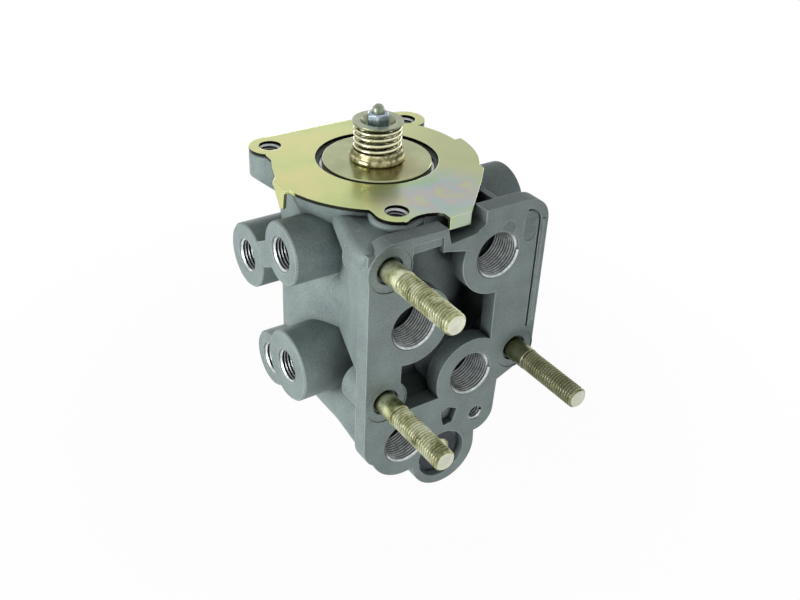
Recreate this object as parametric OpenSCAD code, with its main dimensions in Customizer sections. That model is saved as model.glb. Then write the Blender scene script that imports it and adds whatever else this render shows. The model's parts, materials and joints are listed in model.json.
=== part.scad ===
// Dual circuit foot brake valve with a stud flange for the bulkhead.
// The origin lies on the flange face, in the plane of the valve axis.
// +X is to the right seen from the studs, +Y points from the flange into the valve, +Z is up.
// Heights are measured from the top of the cover plate, and depths count downwards from it.

/* [Layout] */
// Distance from the flange face to the valve axis
axis_y = 68; // [66:1:74]
// Height of the cover plate's top above the origin
plate_top_z = 72; // [68:1:76]

/* [Casting] */
// Radius of the main barrel
barrel_r = 44.5; // [43.5:0.5:46]
// Depth of the main barrel's lower end
barrel_depth = 104; // [100:1:106]
// Radius of the lower barrel, round the second valve
lower_r = 27; // [26.5:0.5:28]
// Depth where the lower barrel begins to narrow
lower_depth = 127; // [126:1:129]
// Radius of the exhaust sump
sump_r = 19.5; // [19:0.5:21]
// Depth of the sump's underside
sump_depth = 142; // [141.5:0.5:143]
// Thickness of the side walls between flange and barrel
wall_t = 8; // [6:0.5:9]
// Thickness of the flange
flange_t = 8; // [6:0.5:9]
// Half width of the flange
flange_half_w = 46.5; // [45.5:0.5:48]
// Radius of the flange's upper right corner
flange_corner_r = 12; // [8:1:13]
// Width of the flange's left column
left_column_w = 18.1; // [17:0.5:19]
// Width of the flange's right column
right_column_w = 25.9; // [24:0.5:27]
// Height of the bar across the top of the window
bar_h = 10.5; // [8:0.5:11]
// Depth of the flange's top left corner and bar below the plate's top
bar_drop = 2.4; // [1.6:0.1:3]
// Width of the rim along the bar's edges, and its height above the face inside it
bar_rim = 3.8; // [3:0.1:4.5]
bar_step = 1; // [0.5:0.1:2]
// Depth of the pocket cast into the flange
pocket_depth = 4; // [2:0.5:5]
// Depth of the machined seats round the studs
seat_depth = 0.5; // [0.3:0.1:1]
// Width and depth of the groove inside the flange's right edge
edge_groove = 1.2; // [0.5:0.1:1.5]
// Radius and depth of the ejector pins' marks
mark_r = 3.8; // [3:0.1:4]
mark_depth = 0.3; // [0.2:0.1:0.5]
// Chamfer round the ends of the small ports' bosses
boss_edge = 0.8; // [0.4:0.1:1.2]

/* [Large ports] */
// Radius of a large port's thread, M22 x 1.5
port_r = 11; // [10.5:0.25:11]
// Radius of the countersink at a large port's mouth
port_mouth_r = 11.6; // [11.3:0.1:12]
// Depth of the threaded part of a large port
port_depth = 18; // [15:1:20]
// Radius of the pad round a large port on the flange
port_pad_r = 19; // [18.5:0.5:20.5]
// Radius of the duct behind a large port
duct_r = 15.5; // [14.5:0.5:16]
// Radius of the drilled passage from a large port to the valve
passage_r = 5; // [4:0.5:5.5]

/* [Small ports] */
// Radius of a small port's thread, M16 x 1.5
small_port_r = 8; // [7:0.25:8]
// Radius of the countersink at a small port's mouth
small_mouth_r = 8.5; // [8.2:0.1:9]
// Depth of the threaded part of a small port
small_depth = 14; // [12:1:16]
// Distance from the valve axis to the small ports' faces
small_face_x = 60; // [58:1:62]
// Distance that the lowest small port's face lies further in
small_step = 6; // [4:1:8]
// Radius of the drilled passage from a small port to the valve
small_passage_r = 3; // [2.5:0.1:3.5]
// Width of the web between the two upper small ports
port_web_w = 12; // [10:1:14]

/* [Studs] */
// Radius of a stud's thread, M10
stud_r = 5; // [4.5:0.25:5.5]
// Radius of a stud's plain neck
stud_neck_r = 5.2; // [5:0.1:5.6]
// Length of the plain neck outside the flange
stud_neck_l = 11; // [9:0.5:13]
// Length of a stud outside the flange
stud_out = 44.8; // [40:0.1:48]
// Length of a stud inside the casting
stud_in = 17; // [14:1:19]
// Radius of the casting's boss round a stud
stud_boss_r = 10.8; // [10.4:0.1:11.2]
// Length of the boss behind the flange face
stud_floor_t = 2; // [1.5:0.5:5]
// Radius of the counterbore round a stud's neck
stud_relief_r = 6.4; // [6:0.1:7]
// Depth of that counterbore
stud_relief_l = 2; // [1:0.5:3]

/* [Cover plate] */
// Thickness of the cover plate
plate_t = 1.5; // [1.2:0.1:2]
// Radius of the plate's central hole
plate_hole_r = 28.3; // [28:0.1:29]
// Radius of the plate's bolt holes
plate_bolt_r = 5.25; // [5:0.05:5.5]
// Radius of the plate's edge on the front left
plate_left_r = 52.3; // [51:0.1:53]
// Radius of the plate's edge on the right
plate_right_r = 47; // [46:0.1:48]
// Distance of the straight back edge from the valve axis
plate_back_y = 43.5; // [42:0.5:45]
// Width of the tongue bent down at the front
front_tongue_w = 11; // [9:0.5:12]
// Its length
front_tongue_l = 6; // [4:0.5:8]
// Length of the tongue bent down at the left
left_tongue_l = 10; // [8:0.5:11]
// Radius of the thread in a lug, M10
lug_hole_r = 5; // [4:0.25:5]
// Radius of the plate's ears and of the lugs under them
lug_r = 9.8; // [9:0.1:10.2]
// Distance of the casting's edge inside the plate's left arc
flare_inset = 1.3; // [0.8:0.1:3]
// Height of the flare that carries that edge
flare_h = 14; // [8:1:18]
// Radius of the front lug, which shows all round its ear
front_lug_r = 11.5; // [10:0.1:12]
// Radius of the shoulder at the upper stud's boss
shoulder_r = 10.2; // [9.5:0.1:10.6]
// Drop of the shoulder below the front lug's rim
shoulder_drop = 4.5; // [3:0.5:8]
// Height of a lug at its outer end
lug_h = 12; // [10:1:14]
// Height of a lug where it meets the barrel
lug_root_h = 24; // [18:1:28]

/* [Valve bores] */
// Radius of the upper bore, for the piston and the first valve
bore_1_r = 26.5; // [26:0.1:26.7]
// Radius of the middle bore, for the relay piston
bore_2_r = 23.5; // [23:0.1:24]
// Radius of the lower bore, for the second valve
bore_3_r = 21; // [20.5:0.1:21.5]
// Radius of the exhaust sump's bore
sump_bore_r = 15; // [14:0.5:15.5]
// Radius of a valve seat's opening
seat_r = 8; // [7.5:0.1:8.5]
// Running clearance of everything that slides, in radius
slide_gap = 0.05; // [0.03:0.01:0.08]
// Axial clearance between a closed valve and its seat
seat_gap = 0.1; // [0.05:0.05:0.2]
// Thickness of an O-ring
oring_t = 2.3; // [2:0.1:2.5]
// Thickness of a retaining ring
circlip_t = 1.5; // [1.2:0.1:1.7]
// Radial depth of a retaining ring's groove
circlip_groove = 1.6; // [1.2:0.1:1.8]

/* [Pistons and valves] */
// Radius of the steel disc on top of the piston
disc_r = 25.3; // [25:0.1:25.5]
// Thickness of that disc
disc_t = 2; // [1.5:0.1:2.5]
// Depth of the piston's lower edge
piston_depth = 18; // [16:0.5:19]
// Radius of a piston's hollow stem
stem_r = 5.8; // [5.4:0.1:6.2]
// Bore of a hollow stem
stem_bore_r = 3.5; // [3:0.1:3.8]
// Exhaust gap under the first piston's stem
exhaust_gap_1 = 1.2; // [1.1:0.1:1.4]
// Exhaust gap under the relay piston's stem
exhaust_gap_2 = 1; // [0.9:0.1:1.2]
// Radius of a valve's head
valve_head_r = 12; // [11:0.5:12.5]
// Thickness of a valve's head
valve_head_t = 3.6; // [3:0.1:4]
// Radius of a valve's guide tube
valve_tube_r = 5; // [4.8:0.1:5.2]

/* [Spring pack] */
// Outer radius of the graduating spring
spring_r = 11.15; // [11:0.05:11.2]
// Thickness of its wire
spring_wire = 1.7; // [1.5:0.1:1.8]
// Height of the pressed collar round its foot
collar_h = 5.5; // [4:0.5:6]
// Outer radius of that collar
collar_r = 12.9; // [12.6:0.1:13.2]
// Height of the spring cup's rim above the plate
cup_top = 18.1; // [17.5:0.1:19]
// Outer radius of the spring cup's rim
cup_r = 11.65; // [11.4:0.05:12]
// Depth of the well in the spring cup
cup_well = 3.2; // [2.5:0.1:3.6]
// Number of turns of the graduating spring, with its two closed ones
spring_turns = 6; // [5:0.5:7]
// Radius of the well's floor
cup_floor_r = 6.6; // [6:0.1:6.9]
// Thickness of the pressed sheet of cup and collar
sheet_t = 0.8; // [0.6:0.1:1]
// Radius of the spindle, M6
spindle_r = 2.9; // [2.8:0.05:3]
// Height of the spindle's tip above the plate
spindle_top = 25.2; // [24:0.1:25.5]
// Width of the lock nut across its flats
nut_af = 9.2; // [9:0.1:10]
// Height of the lock nut
nut_h = 7; // [6:0.5:7.5]

// Outer radius and wire of the first piston's return spring
piston_spring_r = 20; // [19:0.1:20.2]
piston_spring_wire = 2; // [1.6:0.1:2.2]
// Outer radius and wire of the relay piston's return spring
relay_spring_r = 15; // [14.5:0.1:15.3]
relay_spring_wire = 1.8; // [1.4:0.1:2]
// Outer radius and wire of the springs under the two valves
valve_spring_r = 8.5; // [8.3:0.1:8.8]
valve_spring_wire = 1.2; // [1:0.1:1.4]

/* [Exhaust] */
// Radius of the exhaust opening in the flange
exhaust_r = 12; // [11.5:0.1:12.4]
// Radius of the casting round the exhaust opening
exhaust_pad_r = 17.8; // [17:0.1:18.5]
// Radius of the domed head that holds the flap
exhaust_head_r = 6.5; // [5.5:0.1:7]
// Length of the wide part of the exhaust duct
exhaust_l = 34; // [30:1:36]
// Radius of the passage from the sump to the exhaust duct
exhaust_passage_r = 6; // [5:0.5:6.5]
// Depth of that passage
exhaust_passage_depth = 130.5; // [130:0.5:131.5]
// Distance from the flange face to the rubber flap
flap_inset = 3; // [2:0.5:4]
// Thickness of the rubber flap
flap_t = 1.5; // [1.2:0.1:2]
// Thickness of the sieve plate behind the flap
sieve_t = 2; // [1.5:0.5:3]

/* [Hidden] */
$fn = 96;
hull_fn = 32;
eps = 0.01;
clear = 1;

// Places on the flange, as x and height
stud_1 = [-36.1, -14.7];
stud_2 = [-35.7, -82];
stud_3 = [36, -78.2];
port_ur = [19.8, -23];
port_ml = [-22.9, -46.4];
port_mr = [10.6, -83.5];
port_bl = [-24, -109.6];
aux_hole = [16, -109];
notch_left = -6.4;
exhaust = [-2.8, -126];
exhaust_pad = [-1.5, -126];
exhaust_duct_wall = 4.5;
aux_r = 4;
aux_depth = 14;
aux_pad_r = 10.5;

balance_r = 1.5;
balance_turn = 60;
balance_reach = bore_1_r + 6;

// Places of the small ports, as y and height
small_uf = [-18, -25.1];
small_ub = [15.6, -42.5];
small_lf = [-21.3, -82.5];
small_lb = [6.4, -97.7];
small_right = [-19.7, -24.8];
small_uf_r = 14.6;
small_ub_r = 15.4;
small_lf_r = 17.2;
small_lb_r = 14.1;
small_right_r = 16.6;

// Places of the plate's bolts, as x and y
bolt_left = [-36.9, 34.4];
bolt_front = [-21.2, -48.6];
bolt_back = [36.3, 31.4];
plate_bolts = [bolt_left, bolt_front, bolt_back];
left_tongue_x = -53.5;
front_tongue_x = -5;
front_tongue_y = -64.4;

// The stack inside the valve, as depths below the plate's top
ledge_depth = plate_t + 0.8;
bore_1_end = 56;
bore_2_end = 101;
bore_3_end = 124;
sump_bore_end = 138;
seat_ring_t = 4.5;
seat_lip = 1;
circlip_play = 0.1;
rest_gap = 0.3;
circlip_1 = 28.3;
seat_ring_1 = circlip_1 + circlip_t + 2 * circlip_play;
guide_1 = seat_ring_1 + seat_ring_t;
valve_1 = guide_1 + seat_lip + seat_gap;
circlip_2 = bore_2_end + 0.4;
seat_ring_2 = circlip_2 + circlip_t + 2 * circlip_play;
guide_2 = seat_ring_2 + seat_ring_t;
valve_2 = guide_2 + seat_lip + seat_gap;
guide_floor_t = 5;
guide_wall = 3.6;
crown_top = disc_t;
crown_t = 5;
piston_skirt = 3.4;
piston_seal = 12;
piston_stem_end = valve_1 - exhaust_gap_1;
relay_collar_l = 6;
relay_tube_r = 7;
relay_tube_top = bore_1_end + 2.5;
relay_top = bore_1_end + relay_collar_l + rest_gap;
relay_t = 12;
relay_seal = relay_top + relay_t / 2;
relay_stem_end = valve_2 - exhaust_gap_2;
oring_r = oring_t / 2;

// The spring pack above the piston
spring_foot = sheet_t + slide_gap;
spring_head = cup_top - sheet_t - slide_gap;
nut_foot = cup_top - cup_well + slide_gap;

// Shared shapes, all placed from the valve axis and the plate's top

// A cylinder on the valve axis between two depths
module drum(r, top, bottom) {
    translate([0, 0, -bottom]) cylinder(r = r, h = bottom - top);
}

// A ring on the valve axis between two depths
module sleeve(r, inner_r, top, bottom) {
    difference() {
        drum(r, top, bottom);
        drum(inner_r, top - clear, bottom + clear);
    }
}

// A cylinder along Y that starts at the flange face, at a place given as x and height
module from_flange(place, r, length, start = 0) {
    translate([place[0], start - axis_y, place[1]]) rotate([-90, 0, 0]) cylinder(r = r, h = length);
}

// A chamfered boss along X that starts at a face on the left, at a place given as y and height
module left_boss(place, r, face_x) {
    translate([-face_x, place[0], place[1]]) rotate([0, 90, 0]) {
        cylinder(r1 = r - boss_edge, r2 = r, h = boss_edge);
        translate([0, 0, boss_edge]) cylinder(r = r, h = face_x - 20 - boss_edge);
    }
}

// The countersunk, threaded and drilled parts of a port, along +Z from its face
module port_hole(r, mouth_r, depth, bore_r, length) {
    mouth = mouth_r - r;
    translate([0, 0, -eps]) cylinder(r1 = mouth_r + eps, r2 = r, h = mouth + eps);
    cylinder(r = r, h = depth);
    cylinder(r = bore_r, h = length);
}

module large_port(place, end_y) {
    translate([place[0], -axis_y, place[1]]) rotate([-90, 0, 0])
        port_hole(port_r, port_mouth_r, port_depth, passage_r, axis_y + end_y);
}

module small_port(place, face_x, end_x) {
    translate([-face_x, place[0], place[1]]) rotate([0, 90, 0])
        port_hole(small_port_r, small_mouth_r, small_depth, small_passage_r, face_x - end_x);
}

// An O-ring lying in a plane across the valve axis
module oring(bore_r, depth) {
    translate([0, 0, -depth]) rotate_extrude() translate([bore_r - slide_gap - oring_r, 0])
        circle(r = oring_r, $fn = hull_fn);
}

// The groove that such a ring lies in
module oring_groove(bore_r, depth) {
    sleeve(bore_r + clear, bore_r - slide_gap - oring_t - slide_gap, depth - oring_r - slide_gap,
        depth + oring_r + slide_gap);
}

// A retaining ring with its gap and two lugs
module circlip(bore_r, top) {
    inner_r = bore_r - 3;
    lug = 2.2;
    color("dimgray") difference() {
        union() {
            sleeve(bore_r + circlip_groove - circlip_play, inner_r, top + circlip_play,
                top + circlip_play + circlip_t);
            for (side = [-1, 1]) rotate([0, 0, side * 14]) translate([inner_r, 0, 0])
                drum(lug, top + circlip_play, top + circlip_play + circlip_t);
        }
        rotate([0, 0, -9]) rotate_extrude(angle = 18) translate([inner_r - 4, -top - circlip_t - clear])
            square([circlip_groove + 9, circlip_t + 2 * clear]);
        for (side = [-1, 1]) rotate([0, 0, side * 14]) translate([inner_r, 0, 0])
            drum(0.9, top - clear, top + circlip_t + clear);
    }
}

// Height of a spring's wire after a share of its length, with one closed turn at each end
function coil_z(share, turns, wire, height) =
    let (done = share * turns, live = height - 3 * wire, free = max(turns - 2, 1))
    done < 1 ? wire / 2 + done * wire
    : done > turns - 1 ? height - wire / 2 - (turns - done) * wire
    : 1.5 * wire + (done - 1) / free * live;

// A coil spring standing on the XY plane, as one swept tube
module coil_spring(outer_r, wire, turns, height, sides, steps) {
    mean_r = outer_r - wire / 2;
    rings = round(turns * steps);
    points = [for (i = [0:rings]) for (j = [0:sides - 1])
        let (turn = 360 * turns * i / rings, around = 360 * j / sides,
            reach = mean_r + wire / 2 * cos(around))
        [reach * cos(turn), reach * sin(turn),
            coil_z(i / rings, turns, wire, height) + wire / 2 * sin(around)]];
    walls = [for (i = [0:rings - 1]) for (j = [0:sides - 1])
        let (a = i * sides + j, b = i * sides + (j + 1) % sides) [a, b, b + sides, a + sides]];
    skins = [for (quad = walls) each [[quad[0], quad[1], quad[2]], [quad[0], quad[2], quad[3]]]];
    first_cap = [for (j = [0:sides - 1]) sides - 1 - j];
    last_cap = [for (j = [0:sides - 1]) rings * sides + j];
    polyhedron(points, concat(skins, [first_cap, last_cap]));
}

// A spring between two depths
module spring_between(outer_r, wire, turns, top, bottom) {
    color("silver") translate([0, 0, slide_gap - bottom])
        coil_spring(outer_r, wire, turns, bottom - top - 2 * slide_gap, 6, 12);
}

// The casting

// Outline of the flange, as x and height
module flange_outline() {
    left_in = left_column_w - flange_half_w;
    right_in = flange_half_w - right_column_w;
    notch_right = 11.4;
    translate([-flange_half_w, -107]) square([left_column_w, 95 - bar_drop]);
    intersection() {
        translate([flange_corner_r - flange_half_w, -bar_drop - flange_corner_r]) circle(r = flange_corner_r);
        translate([-flange_half_w, -30]) square([flange_half_w + stud_1[0] + 2, 30]);
    }
    translate([stud_1[0], -26]) square([10.4, 26 - bar_drop]);
    polygon([[stud_1[0], -bar_h], [stud_1[0], -bar_drop], [notch_left - 1.8, -bar_drop - 0.4],
        [notch_left, -bar_h]]);
    translate([notch_left - 4.1, -bar_h - 3]) square([4.1, 4]);
    polygon([[notch_left - 2, -bar_h - 3], [notch_left, -bar_h], [notch_right, -8.5], [notch_right, -19],
        [1.7, -16]]);
    translate([notch_right, -30]) square([flange_half_w - flange_corner_r - notch_right, 30.5]);
    translate([flange_half_w - flange_corner_r, -flange_corner_r]) circle(r = flange_corner_r);
    translate([right_in, stud_3[1]]) square([right_column_w, -stud_3[1] - flange_corner_r]);
    polygon([[right_in, stud_3[1]], [stud_3[0], stud_3[1]], [stud_3[0], stud_3[1] - 11], [27.3, -93],
        [right_in, -93]]);
    for (place = [port_ur, port_ml, port_mr]) translate(place) circle(r = port_pad_r);
    translate(port_bl) circle(r = port_pad_r - 0.5);
    translate([-35, -106.5]) circle(r = flange_half_w - 35);
    for (place = [stud_1, stud_2, stud_3]) translate(place) circle(r = stud_boss_r);
    translate(aux_hole) circle(r = aux_pad_r);
    translate(exhaust_pad) circle(r = exhaust_pad_r);
    polygon([[left_in - 2, -91], [27.3, -91], [aux_hole[0] + aux_pad_r, aux_hole[1]],
        [aux_hole[0], aux_hole[1] - aux_pad_r], [exhaust_pad[0] + exhaust_pad_r, exhaust_pad[1]],
        exhaust_pad, [port_bl[0], port_bl[1] - port_pad_r + 1]]);
}

// The core pocket beside the small threaded hole
module flange_pocket() {
    polygon([[-4.9, -101], [-1.4, -98.3], [4.6, -101.4], [2.3, -108.2], [-2.9, -108.8]]);
}

// The groove that runs just inside the flange's right edge and round its corner
module edge_groove_outline() {
    inset = 4.3;
    reach = flange_corner_r - inset;
    centre = [flange_half_w - flange_corner_r, -flange_corner_r];
    translate([flange_half_w - inset - edge_groove, stud_3[1] + stud_boss_r]) square([edge_groove,
        -stud_3[1] - stud_boss_r - flange_corner_r]);
    intersection() {
        translate(centre) difference() {
            circle(r = reach);
            circle(r = reach - edge_groove);
        }
        translate(centre) square(flange_corner_r);
    }
}

// A round and an oval mark of the mould's ejector pins, near the flange's right corner
module ejector_marks() {
    translate([24.3, -11.4]) circle(r = mark_r);
    for (z = [-9, -16.8]) translate([36.8, z]) circle(r = mark_r);
    translate([36.8 - mark_r, -16.8]) square([2 * mark_r, 7.8]);
}

// An outline given as x and height, as a slab that starts behind the flange face
module flange_slab(start, thickness) {
    translate([0, start + thickness - axis_y, 0]) rotate([90, 0, 0]) linear_extrude(thickness) children();
}

// Wall that flares from the barrel out to the flange's edge, between two depths
module side_wall(top, bottom) {
    translate([0, 0, -bottom]) linear_extrude(bottom - top)
        polygon([[-flange_half_w, 1 - axis_y], [-flange_half_w, flange_t - axis_y], [-36, -28],
            [-28, -24], [wall_t - flange_half_w, flange_t - axis_y], [wall_t - flange_half_w, 1 - axis_y]]);
}

// Lower front of the casting, where the lowest large port's duct runs into the barrel
module lower_neck() {
    hull() {
        translate([port_bl[0], 1 - axis_y, port_bl[1]]) rotate([-90, 0, 0])
            cylinder(r = port_pad_r - 0.8, h = flange_t, $fn = hull_fn);
        translate([0, 0, -barrel_depth]) cylinder(r = barrel_r - 3, h = 12, $fn = hull_fn);
        translate([0, 0, -lower_depth]) cylinder(r = lower_r, h = 10, $fn = hull_fn);
    }
}

// Lug under one ear of the plate, with a rounded rim and a sloping underside
module lug(place, r) {
    inwards = 1 - 22 / norm(place);
    hull() {
        translate([place[0], place[1], -plate_t - 1]) cylinder(r = r - 1, h = 1, $fn = hull_fn);
        translate([place[0], place[1], -plate_t - lug_h]) cylinder(r = r, h = lug_h - 1, $fn = hull_fn);
        translate([place[0] * inwards, place[1] * inwards, -plate_t - lug_root_h])
            cylinder(r = r, h = lug_root_h, $fn = hull_fn);
    }
}

// Cast shoulder that runs from the upper stud's boss to the front lug
module shoulder() {
    hull() {
        translate([stud_1[0], flange_t - axis_y, stud_1[1]]) rotate([-90, 0, 0])
            cylinder(r = shoulder_r, h = stud_in + stud_floor_t - flange_t - 2, $fn = hull_fn);
        translate([bolt_front[0], bolt_front[1], -plate_t - lug_h])
            cylinder(r = front_lug_r, h = lug_h - shoulder_drop, $fn = hull_fn);
    }
}

// Flare under the plate's left edge, down to the barrel
module head_flare() {
    intersection() {
        translate([0, 0, -plate_t - flare_h]) cylinder(r1 = barrel_r, r2 = plate_left_r - flare_inset, h = flare_h);
        translate([0, 0, -plate_t - flare_h]) linear_extrude(flare_h) left_sector();
    }
}

module casting_solid() {
    head_flare();
    shoulder();
    drum(barrel_r, plate_t, barrel_depth);
    drum(lower_r, barrel_depth - clear, lower_depth);
    translate([0, 0, -lower_depth - 8]) cylinder(r1 = sump_r, r2 = lower_r, h = 8);
    drum(sump_r, lower_depth + 8 - eps, sump_depth);
    lug(bolt_left, lug_r);
    lug(bolt_back, lug_r);
    lug(bolt_front, front_lug_r);
    flange_slab(0, flange_t) flange_outline();
    side_wall(6, 66);
    mirror([1, 0, 0]) side_wall(22, 88);
    lower_neck();
    for (place = [port_ur, port_ml, port_mr]) from_flange(place, duct_r, axis_y - 25, 1);
    from_flange(port_bl, duct_r, axis_y, 1);
    for (place = [stud_1, stud_2, stud_3]) from_flange(place, stud_boss_r, stud_in + stud_floor_t, 1);
    from_flange(aux_hole, aux_r + 4, aux_depth + 4, 1);
    from_flange(exhaust_pad, exhaust_pad_r, exhaust_l + 4, 1);
    from_flange([exhaust[0], -exhaust_passage_depth], exhaust_passage_r + exhaust_duct_wall, axis_y - 8, 1);
    translate([23.5, 1 - axis_y, -14]) cube([3, 36, 12]);
    left_boss(small_uf, small_uf_r, small_face_x);
    left_boss(small_ub, small_ub_r, small_face_x);
    left_boss(small_lf, small_lf_r, small_face_x);
    left_boss(small_lb, small_lb_r, small_face_x - small_step);
    mirror([1, 0, 0]) left_boss(small_right, small_right_r, small_face_x);
    port_web();
}

// The web that joins the two upper small ports, flush with their faces
module port_web() {
    run = small_ub - small_uf;
    translate([boss_edge - small_face_x, small_uf[0], small_uf[1]]) rotate([atan2(run[1], run[0]), 0, 0])
        translate([0, 0, -port_web_w / 2]) cube([small_face_x - 25, norm(run), port_web_w]);
}

// The drilled way that takes the first circuit's pressure down to the relay piston
module balance_passage() {
    top = piston_depth + 6;
    bottom = bore_1_end + 3;
    rotate([0, 0, balance_turn]) translate([balance_reach, 0, 0]) {
        drum(balance_r, top, bottom);
        for (depth = [top, bottom]) translate([-10, 0, -depth]) rotate([0, 90, 0])
            cylinder(r = balance_r, h = 10 + balance_r);
    }
}

module valve_body() {
    color([0.6, 0.63, 0.62]) difference() {
        casting_solid();
        drum(bore_1_r + 1.7, 0, ledge_depth);
        drum(bore_1_r, 0, bore_1_end);
        drum(bore_2_r, bore_1_end - clear, bore_2_end);
        drum(bore_3_r, bore_2_end - clear, bore_3_end);
        drum(sump_bore_r, bore_3_end - clear, sump_bore_end);
        drum(bore_1_r + circlip_groove, circlip_1, circlip_1 + circlip_t + 2 * circlip_play);
        drum(bore_3_r + circlip_groove, circlip_2, circlip_2 + circlip_t + 2 * circlip_play);
        large_port(port_ur, -14);
        large_port(port_ml, -10);
        large_port(port_mr, -18);
        large_port(port_bl, 0);
        small_port(small_uf, small_face_x, 17);
        small_port(small_ub, small_face_x, 19);
        small_port(small_lf, small_face_x, 8);
        small_port(small_lb, small_face_x - small_step, 20);
        mirror([1, 0, 0]) small_port(small_right, small_face_x, 17);
        from_flange(exhaust, exhaust_r, exhaust_l, 0);
        from_flange(exhaust, exhaust_r + 0.9, flap_inset + flap_t + sieve_t, 0);
        from_flange([exhaust[0], -exhaust_passage_depth], exhaust_passage_r, axis_y - 8, 0);
        from_flange(aux_hole, aux_r, aux_depth, 0);
        balance_passage();
        flange_slab(-clear, pocket_depth + clear) flange_pocket();
        flange_slab(-clear, edge_groove + clear) edge_groove_outline();
        flange_slab(-clear, mark_depth + clear) ejector_marks();
        flange_slab(-clear, bar_step + clear)
            translate([stud_1[0] + stud_boss_r, -bar_h - 4])
                square([notch_left - bar_rim - stud_1[0] - stud_boss_r, bar_h + 4 - bar_drop - bar_rim]);
        for (place = [stud_1, stud_2, stud_3]) from_flange(place, stud_boss_r - 0.4, seat_depth, 0);
        for (place = [stud_1, stud_2, stud_3]) {
            from_flange(place, stud_r + slide_gap, stud_in, 0);
            from_flange(place, stud_relief_r, stud_relief_l, 0);
        }
        for (place = plate_bolts) translate([place[0], place[1], -plate_t - lug_h + 2])
            cylinder(r = lug_hole_r, h = lug_h);
    }
}

// The cover plate

// The sector round the valve axis that the plate's left arc covers
module left_sector() {
    polygon([[0, 0], [-60, -11.6], [-60, -70], [-41, -60]]);
}

// Flat outline of the plate without its tongues
module plate_outline() {
    difference() {
        union() {
            intersection() {
                circle(r = plate_left_r);
                left_sector();
            }
            intersection() {
                circle(r = plate_right_r);
                polygon([[0, 0], [70, -1.2], [70, -63]]);
            }
            circle(r = plate_back_y);
            polygon([[0, 0], [-50, -11], [left_tongue_x, -10.5], [left_tongue_x, 0], [-50.3, 3.8],
                [-47.2, 12.5], [-43.8, 20], [-43.5, 26], [0, plate_back_y]]);
            polygon([[bolt_left[0], plate_back_y], [14, plate_back_y], [38, 40.7], [bolt_back[0], 30], [0, 0],
                bolt_left]);
            polygon([[0, 0], [37, -30], [36.4, -32.9], [28, -42.4], [front_tongue_x + front_tongue_w, front_tongue_y],
                [front_tongue_x, front_tongue_y], [front_tongue_x, -61], [-23.9, -58.7], bolt_front]);
            for (place = plate_bolts) translate(place) circle(r = lug_r);
            translate([-30.7, -51]) square([12, 15]);
        }
        intersection() {
            translate([-14.3, -71.2]) circle(r = 14.9);
            translate([-24, -80]) square([19, 40]);
        }
        circle(r = plate_hole_r);
        for (place = plate_bolts) translate(place) circle(r = plate_bolt_r);
    }
}

module cover_plate() {
    color([0.78, 0.8, 0.55]) {
        translate([0, 0, -plate_t]) linear_extrude(plate_t) plate_outline();
        translate([front_tongue_x, front_tongue_y, -front_tongue_l]) cube([front_tongue_w, plate_t, front_tongue_l]);
        translate([left_tongue_x, 0, 0]) rotate([90, 0, 90]) linear_extrude(plate_t)
            polygon([[0, 0], [-10.5, 0], [-9.2, 1 - left_tongue_l], [-6.3, -left_tongue_l]]);
    }
}

// The studs
module stud(place) {
    color([0.76, 0.76, 0.5]) translate([place[0], stud_in - axis_y, place[1]]) rotate([90, 0, 0]) {
        cylinder(r = stud_r, h = stud_in + stud_out - 1);
        translate([0, 0, stud_in + stud_out - 1]) cylinder(r1 = stud_r, r2 = stud_r - 1, h = 1);
        translate([0, 0, stud_in - stud_relief_l]) cylinder(r = stud_neck_r, h = stud_relief_l + stud_neck_l);
    }
}

// The spring pack

module spring_cup() {
    well = cup_top - cup_well;
    color([0.75, 0.77, 0.6]) rotate_extrude()
        polygon([[spindle_r + 0.3, well - sheet_t], [cup_floor_r, well - sheet_t],
            [cup_floor_r + 2, cup_top - sheet_t], [cup_r, cup_top - sheet_t], [cup_r, cup_top],
            [cup_floor_r + 1.6, cup_top], [cup_floor_r - 0.4, well], [spindle_r + 0.3, well]]);
}

module lock_nut() {
    corner_r = nut_af / sqrt(3);
    color("lightsteelblue") translate([0, 0, nut_foot]) difference() {
        intersection() {
            cylinder(r = corner_r, h = nut_h, $fn = 6);
            rotate_extrude() polygon([[0, 0], [corner_r - 0.7, 0], [corner_r, 0.6], [corner_r, nut_h - 1.3],
                [nut_af / 2 - 0.5, nut_h], [0, nut_h]]);
        }
        translate([0, 0, -clear]) cylinder(r = spindle_r + slide_gap, h = nut_h + 2 * clear);
    }
}

module spindle() {
    foot = crown_top + crown_t + 4;
    color("darkseagreen") translate([0, 0, -foot]) rotate_extrude()
        polygon([[0, 0], [spindle_r, 0], [spindle_r, foot + spindle_top - 2.2],
            [spindle_r - 0.4, foot + spindle_top - 1], [spindle_r - 0.8, foot + spindle_top - 0.4],
            [spindle_r - 1.3, foot + spindle_top], [0, foot + spindle_top]]);
}

module graduating_spring() {
    color("silver") translate([0, 0, spring_foot])
        coil_spring(spring_r, spring_wire, spring_turns, spring_head - spring_foot, 8, 20);
}

module spring_collar() {
    bore = spring_r + slide_gap;
    color("goldenrod") rotate_extrude()
        polygon([[spindle_r + slide_gap, 0], [collar_r - 0.9, 0], [collar_r - 0.3, 0.4], [collar_r, 1.2],
            [collar_r - 0.2, 2.2], [collar_r - 0.7, 3], [bore + 0.8, collar_h - 0.8], [bore + 0.5, collar_h],
            [bore, collar_h], [bore, sheet_t], [spindle_r + slide_gap, sheet_t]]);
}

module piston_disc() {
    color([0.72, 0.75, 0.58]) rotate_extrude()
        polygon([[spindle_r + slide_gap, -disc_t], [disc_r, -disc_t], [disc_r, -0.5], [disc_r - 0.5, 0],
            [spindle_r + slide_gap, 0]]);
}

// The pistons

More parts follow.
